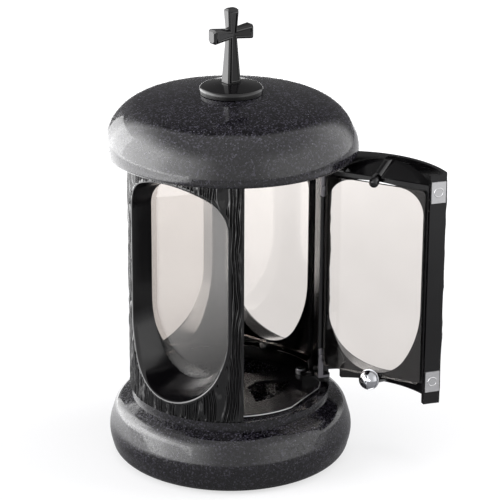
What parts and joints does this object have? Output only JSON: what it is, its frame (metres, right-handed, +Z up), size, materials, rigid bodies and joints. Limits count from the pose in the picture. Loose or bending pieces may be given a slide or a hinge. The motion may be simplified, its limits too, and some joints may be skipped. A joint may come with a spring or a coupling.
{
  "type": "grave lantern",
  "caption": "Round grave lantern: polished dark granite base and domed roof, black cast body with windows, a hinged door that stands open and a cross on top.",
  "frame": {"origin": "centre of the base stone's flat underside", "axes": "+Z up, the closed door faces -Y, +X is to the right of the door as it is looked at"},
  "size_m": [0.163, 0.2113, 0.298],
  "materials": {
    "base_granite": "polished dark granite",
    "roof_granite": "polished dark granite",
    "plate_black": "gloss black",
    "panel_black": "satin black, bark-like outside",
    "door_black": "satin black, bark-like outside",
    "cross_black": "gloss black",
    "lug_black": "satin black",
    "pane_glass": "clear, faintly warm",
    "screw_black": "black oxide",
    "screw_steel": "plain",
    "sleeve_brass": "plain",
    "knob_chrome": "polished",
    "washer_chrome": "polished",
    "leaf_silver": "matte",
    "magnet_steel": "nickel plated"
  },
  "bodies": {
    "lantern": {"base_stone": "base_granite", "roof_stone": "roof_granite", "floor_plate": "plate_black", "top_plate": "plate_black", "base_anchors": "sleeve_brass", "roof_anchors": "sleeve_brass", "base_screws": "screw_steel", "roof_screws": "screw_steel", "panel_screws_lower": "screw_steel", "panel_screws_upper": "screw_steel", "panel_left": "panel_black", "panel_back": "panel_black", "panel_right": "panel_black", "pane_left": "pane_glass", "pane_back": "pane_glass", "pane_right": "pane_glass", "pane_screws": "screw_black", "catch_magnets": "magnet_steel", "cross_foot": "cross_black", "cross": "cross_black", "cross_stud": "screw_steel", "stud_washer": "screw_steel", "stud_nut": "screw_steel", "hinge_lug_lower": "lug_black", "hinge_lug_upper": "lug_black", "hinge_pin_lower": "screw_steel", "hinge_pin_upper": "screw_steel", "lug_screws": "screw_black"},
    "door": {"door_panel": "door_black", "door_pane": "pane_glass", "door_pane_screw": "screw_black", "door_knob": "knob_chrome", "door_washer": "washer_chrome", "catch_plates": "leaf_silver", "catch_screws": "leaf_silver", "hinge_leaf_lower": "leaf_silver", "hinge_leaf_upper": "leaf_silver", "leaf_screws": "screw_steel"}
  },
  "joints": [
    {"name": "door_hinge", "type": "hinge", "parent": "lantern", "child": "door", "pos_m": [0.0379, -0.04808, 0.124], "axis": [0, 0, 1], "range_deg": [-100.8, 20]}
  ]
}
